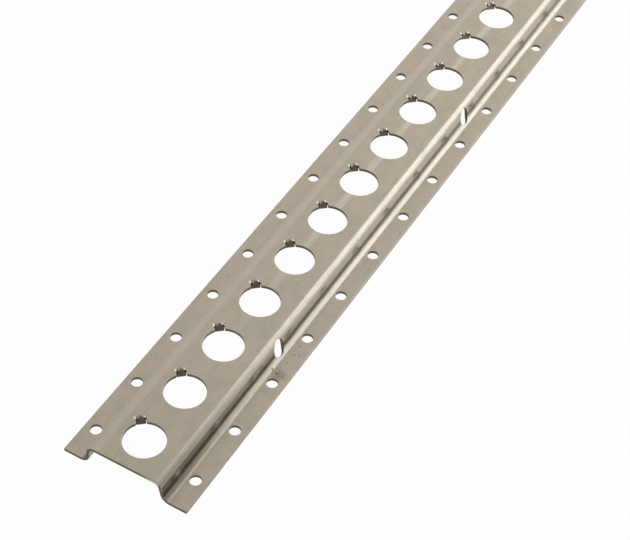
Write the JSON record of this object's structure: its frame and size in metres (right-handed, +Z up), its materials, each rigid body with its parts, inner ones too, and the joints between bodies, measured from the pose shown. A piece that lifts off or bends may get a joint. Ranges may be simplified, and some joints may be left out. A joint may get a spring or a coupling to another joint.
{
  "type": "cargo rail",
  "caption": "Length of bare steel hat-section lashing rail: a row of round stud holes in the crown, each with a pressed-down tab, and screw holes along both flanges.",
  "frame": {"origin": "under the middle of the rail, on the floor plane that both flanges lie on", "axes": "+X across the rail towards the riser with holes, +Y along the rail away from the end shown in the picture, +Z up through the crown"},
  "size_m": [0.08, 1.2, 0.015],
  "materials": {
    "bare_steel": "dull mill finish"
  },
  "bodies": {
    "root": {"rail": "bare_steel"}
  },
  "joints": []
}
